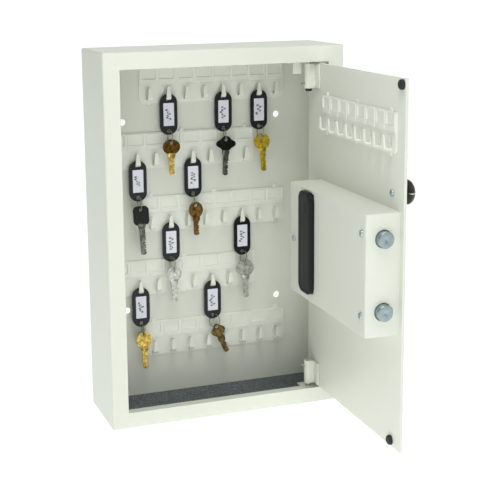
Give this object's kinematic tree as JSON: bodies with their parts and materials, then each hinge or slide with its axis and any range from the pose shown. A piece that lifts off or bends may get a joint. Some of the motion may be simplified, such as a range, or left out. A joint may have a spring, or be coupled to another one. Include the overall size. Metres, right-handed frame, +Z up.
{
  "type": "key cabinet",
  "caption": "Wall-hung steel key cabinet with staggered hook racks, tagged keys, a keypad lock that throws round bolts, and a swung-open door.",
  "frame": {"origin": "middle of the four wall holes, on the rear face of the back panel", "axes": "+X to the right seen from the front, +Y into the wall, +Z up"},
  "size_m": [0.3, 0.3245, 0.45],
  "materials": {
    "cream_paint": "satin powder coat",
    "moulded_cream": "moulded",
    "black_plastic": "fine moulded grain",
    "black_rubber": "matte",
    "felt": "flecked felt",
    "zinc": "zinc plated, turned",
    "steel": "plated",
    "white_nylon": "moulded nylon",
    "motor_steel": "satin",
    "battery_wrap": "printed sleeve",
    "circuit_green": "solder mask",
    "button_grey": "moulded",
    "tag_black": "polished moulding",
    "bronze_key": "antiqued",
    "black_key": "black oxide",
    "gold_key": "worn polish",
    "car_key": "moulded grip",
    "antique_key": "mottled",
    "silver_key": "nickel plate"
  },
  "bodies": {
    "root": {"cabinet_shell": "cream_paint", "back_panel": "cream_paint", "floor_mat": "felt", "key_rack_1": "moulded_cream", "key_rack_2": "moulded_cream", "key_rack_3": "moulded_cream", "key_rack_4": "moulded_cream", "key_rack_5": "moulded_cream"},
    "door": {"door_panel": "cream_paint", "door_key_rack": "moulded_cream", "upper_hinge_tube": "cream_paint", "lower_hinge_tube": "cream_paint", "upper_hinge_spring": "steel", "lower_hinge_spring": "steel", "door_bumpers": "black_rubber", "pull_knob": "black_plastic", "lock_housing": "cream_paint", "housing_screws": "zinc", "gear_motor": "motor_steel", "battery_case": "black_plastic", "batteries": "battery_wrap", "circuit_board": "circuit_green", "keypad_panel": "black_plastic"},
    "upper_pin": {"upper_hinge_pin": "steel"},
    "lower_pin": {"lower_hinge_pin": "steel"},
    "bolts": {"bolt_carriage": "zinc", "upper_bolt": "zinc", "lower_bolt": "zinc"},
    "pinion": {"drive_pinion": "white_nylon"},
    "cover": {"battery_cover": "black_plastic"},
    "button_1": {"button_1": "button_grey"},
    "button_2": {"button_2": "button_grey"},
    "button_3": {"button_3": "button_grey"},
    "button_4": {"button_4": "button_grey"},
    "button_5": {"button_5": "button_grey"},
    "button_6": {"button_6": "button_grey"},
    "button_7": {"button_7": "button_grey"},
    "button_8": {"button_8": "button_grey"},
    "button_9": {"button_9": "button_grey"},
    "button_10": {"button_10": "button_grey"},
    "button_11": {"button_11": "button_grey"},
    "button_12": {"button_12": "button_grey"},
    "tag_1": {"key_tag_1": "tag_black"},
    "key_1": {"key_1": "bronze_key"},
    "tag_2": {"key_tag_2": "tag_black"},
    "key_2": {"key_2": "black_key"},
    "tag_3": {"key_tag_3": "tag_black"},
    "key_3": {"key_3": "gold_key"},
    "tag_4": {"key_tag_4": "tag_black"},
    "key_4": {"key_4": "car_key"},
    "tag_5": {"key_tag_5": "tag_black"},
    "key_5": {"key_5": "antique_key"},
    "tag_6": {"key_tag_6": "tag_black"},
    "key_6": {"key_6": "silver_key"},
    "tag_7": {"key_tag_7": "tag_black"},
    "key_7": {"key_7": "silver_key"},
    "tag_8": {"key_tag_8": "tag_black"},
    "key_8": {"key_8": "gold_key"},
    "tag_9": {"key_tag_9": "tag_black"},
    "key_9": {"key_9": "bronze_key"}
  },
  "joints": [
    {"name": "door_swing", "type": "hinge", "parent": "root", "child": "door", "pos_m": [0.10975, -0.08657, 0], "axis": [0, 0, 1], "range_deg": [-88.5, 21.5]},
    {"name": "upper_pin_retract", "type": "slide", "parent": "door", "child": "upper_pin", "axis": [0, 0, -1], "range_m": [0, 0.008], "stiffness_N_per_m": 400, "springref_m": -0.004, "deforming": ["upper_hinge_spring"]},
    {"name": "lower_pin_retract", "type": "slide", "parent": "door", "child": "lower_pin", "axis": [0, 0, 1], "range_m": [0, 0.008], "stiffness_N_per_m": 400, "springref_m": -0.004, "deforming": ["lower_hinge_spring"]},
    {"name": "bolt_throw", "type": "slide", "parent": "door", "child": "bolts", "axis": [-0.0262, -0.9997, 0], "range_m": [0, 0.015]},
    {"name": "pinion_turn", "type": "hinge", "parent": "door", "child": "pinion", "pos_m": [0.0951, -0.24599, -0.0055], "axis": [-0.9997, 0.0262, 0], "range_deg": [0, 115]},
    {"name": "battery_cover_lift", "type": "slide", "parent": "door", "child": "cover", "axis": [-0.9997, 0.0262, 0], "range_m": [0, 0.025]},
    {"name": "button_1_press", "type": "slide", "parent": "door", "child": "button_1", "axis": [-0.9997, 0.0262, 0], "range_m": [0, 0.001], "stiffness_N_per_m": 500, "springref_m": -0.0008},
    {"name": "button_2_press", "type": "slide", "parent": "door", "child": "button_2", "axis": [-0.9997, 0.0262, 0], "range_m": [0, 0.001], "stiffness_N_per_m": 500, "springref_m": -0.0008},
    {"name": "button_3_press", "type": "slide", "parent": "door", "child": "button_3", "axis": [-0.9997, 0.0262, 0], "range_m": [0, 0.001], "stiffness_N_per_m": 500, "springref_m": -0.0008},
    {"name": "button_4_press", "type": "slide", "parent": "door", "child": "button_4", "axis": [-0.9997, 0.0262, 0], "range_m": [0, 0.001], "stiffness_N_per_m": 500, "springref_m": -0.0008},
    {"name": "button_5_press", "type": "slide", "parent": "door", "child": "button_5", "axis": [-0.9997, 0.0262, 0], "range_m": [0, 0.001], "stiffness_N_per_m": 500, "springref_m": -0.0008},
    {"name": "button_6_press", "type": "slide", "parent": "door", "child": "button_6", "axis": [-0.9997, 0.0262, 0], "range_m": [0, 0.001], "stiffness_N_per_m": 500, "springref_m": -0.0008},
    {"name": "button_7_press", "type": "slide", "parent": "door", "child": "button_7", "axis": [-0.9997, 0.0262, 0], "range_m": [0, 0.001], "stiffness_N_per_m": 500, "springref_m": -0.0008},
    {"name": "button_8_press", "type": "slide", "parent": "door", "child": "button_8", "axis": [-0.9997, 0.0262, 0], "range_m": [0, 0.001], "stiffness_N_per_m": 500, "springref_m": -0.0008},
    {"name": "button_9_press", "type": "slide", "parent": "door", "child": "button_9", "axis": [-0.9997, 0.0262, 0], "range_m": [0, 0.001], "stiffness_N_per_m": 500, "springref_m": -0.0008},
    {"name": "button_10_press", "type": "slide", "parent": "door", "child": "button_10", "axis": [-0.9997, 0.0262, 0], "range_m": [0, 0.001], "stiffness_N_per_m": 500, "springref_m": -0.0008},
    {"name": "button_11_press", "type": "slide", "parent": "door", "child": "button_11", "axis": [-0.9997, 0.0262, 0], "range_m": [0, 0.001], "stiffness_N_per_m": 500, "springref_m": -0.0008},
    {"name": "button_12_press", "type": "slide", "parent": "door", "child": "button_12", "axis": [-0.9997, 0.0262, 0], "range_m": [0, 0.001], "stiffness_N_per_m": 500, "springref_m": -0.0008},
    {"name": "tag_1_swing", "type": "hinge", "parent": "root", "child": "tag_1", "pos_m": [-0.0445, -0.0086, 0.148], "axis": [-1, 0, 0], "range_deg": [0, 25]},
    {"name": "key_1_swing", "type": "hinge", "parent": "tag_1", "child": "key_1", "pos_m": [-0.0445, -0.01778, 0.09394], "axis": [-1, 0, 0], "range_deg": [0, 45]},
    {"name": "tag_2_swing", "type": "hinge", "parent": "root", "child": "tag_2", "pos_m": [0.0275, -0.0086, 0.148], "axis": [-1, 0, 0], "range_deg": [0, 25]},
    {"name": "key_2_swing", "type": "hinge", "parent": "tag_2", "child": "key_2", "pos_m": [0.0275, -0.01778, 0.09394], "axis": [-1, 0, 0], "range_deg": [0, 45]},
    {"name": "tag_3_swing", "type": "hinge", "parent": "root", "child": "tag_3", "pos_m": [0.0755, -0.0086, 0.148], "axis": [-1, 0, 0], "range_deg": [0, 25]},
    {"name": "key_3_swing", "type": "hinge", "parent": "tag_3", "child": "key_3", "pos_m": [0.0755, -0.01778, 0.09394], "axis": [-1, 0, 0], "range_deg": [0, 45]},
    {"name": "tag_4_swing", "type": "hinge", "parent": "root", "child": "tag_4", "pos_m": [-0.086, -0.0086, 0.067], "axis": [-1, 0, 0], "range_deg": [0, 25]},
    {"name": "key_4_swing", "type": "hinge", "parent": "tag_4", "child": "key_4", "pos_m": [-0.086, -0.01778, 0.01294], "axis": [-1, 0, 0], "range_deg": [0, 45]},
    {"name": "tag_5_swing", "type": "hinge", "parent": "root", "child": "tag_5", "pos_m": [-0.014, -0.0086, 0.067], "axis": [-1, 0, 0], "range_deg": [0, 25]},
    {"name": "key_5_swing", "type": "hinge", "parent": "tag_5", "child": "key_5", "pos_m": [-0.014, -0.01778, 0.01294], "axis": [-1, 0, 0], "range_deg": [0, 45]},
    {"name": "tag_6_swing", "type": "hinge", "parent": "root", "child": "tag_6", "pos_m": [-0.0445, -0.0086, -0.014], "axis": [-1, 0, 0], "range_deg": [0, 25]},
    {"name": "key_6_swing", "type": "hinge", "parent": "tag_6", "child": "key_6", "pos_m": [-0.0445, -0.01778, -0.06806], "axis": [-1, 0, 0], "range_deg": [0, 45]},
    {"name": "tag_7_swing", "type": "hinge", "parent": "root", "child": "tag_7", "pos_m": [0.0515, -0.0086, -0.014], "axis": [-1, 0, 0], "range_deg": [0, 25]},
    {"name": "key_7_swing", "type": "hinge", "parent": "tag_7", "child": "key_7", "pos_m": [0.0515, -0.01778, -0.06806], "axis": [-1, 0, 0], "range_deg": [0, 45]},
    {"name": "tag_8_swing", "type": "hinge", "parent": "root", "child": "tag_8", "pos_m": [-0.086, -0.0086, -0.095], "axis": [-1, 0, 0], "range_deg": [0, 25]},
    {"name": "key_8_swing", "type": "hinge", "parent": "tag_8", "child": "key_8", "pos_m": [-0.086, -0.01778, -0.14906], "axis": [-1, 0, 0], "range_deg": [0, 45]},
    {"name": "tag_9_swing", "type": "hinge", "parent": "root", "child": "tag_9", "pos_m": [0.01, -0.0086, -0.095], "axis": [-1, 0, 0], "range_deg": [0, 25]},
    {"name": "key_9_swing", "type": "hinge", "parent": "tag_9", "child": "key_9", "pos_m": [0.01159, -0.01764, -0.14906], "axis": [-1, 0, 0], "range_deg": [0, 45]}
  ],
  "couplings": [
    {"joint": "pinion_turn", "follows": "bolt_throw", "rad_per_m": 133.33}
  ]
}
